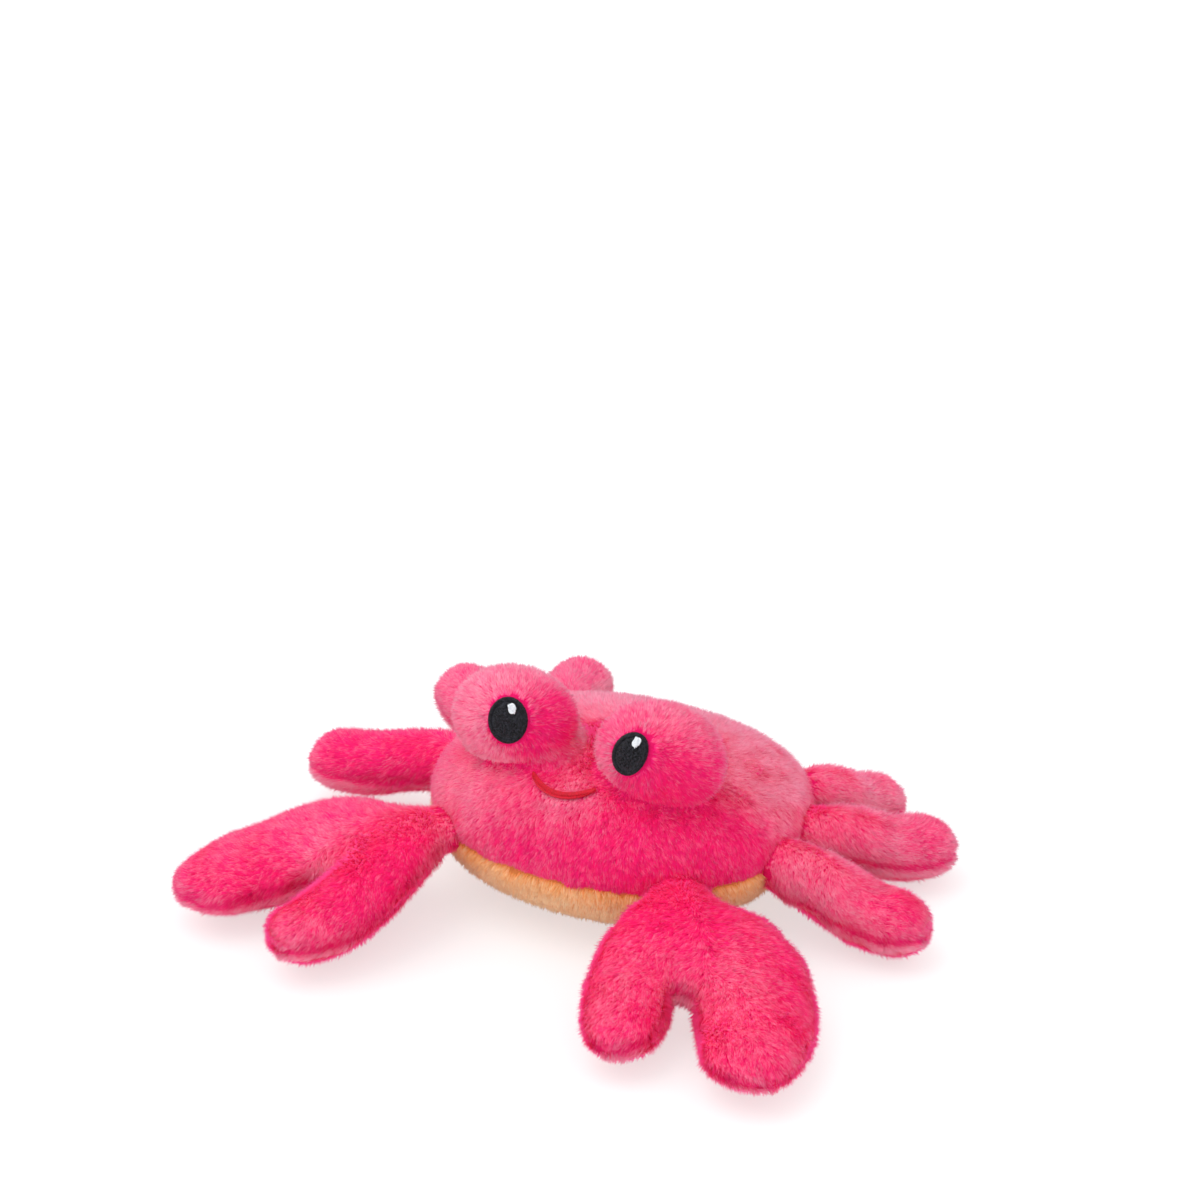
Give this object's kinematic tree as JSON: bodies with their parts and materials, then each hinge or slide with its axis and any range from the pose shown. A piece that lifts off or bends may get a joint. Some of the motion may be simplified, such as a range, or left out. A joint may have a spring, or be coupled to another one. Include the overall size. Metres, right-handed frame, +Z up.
{
  "type": "plush crab",
  "caption": "Soft short-pile plush crab with stuffed claws and legs, raised eye mounds and an embroidered face, for play or display.",
  "frame": {"origin": "on the surface it lies on, under the middle of the bounding box", "axes": "+X towards the crab's left side, +Z up; the crab's face looks along -Y"},
  "size_m": [0.2308, 0.1994, 0.0804],
  "materials": {
    "pink_plush": "short-pile polyester plush, deep pink",
    "orange_plush": "short-pile polyester plush, orange",
    "black_thread": "satin-stitch embroidery, black",
    "white_thread": "satin-stitch embroidery, white",
    "red_thread": "satin-stitch embroidery, red"
  },
  "bodies": {
    "root": {"back": "pink_plush", "belly": "orange_plush", "eye_mound_left": "pink_plush", "eye_mound_right": "pink_plush", "eye_left": "black_thread", "eye_right": "black_thread", "eye_glint_left": "white_thread", "eye_glint_right": "white_thread", "smile": "red_thread", "claw_left": "pink_plush", "claw_right": "pink_plush", "leg_left_front": "pink_plush", "leg_left_middle": "pink_plush", "leg_left_rear": "pink_plush", "leg_right_front": "pink_plush", "leg_right_middle": "pink_plush", "leg_right_rear": "pink_plush"}
  },
  "joints": []
}
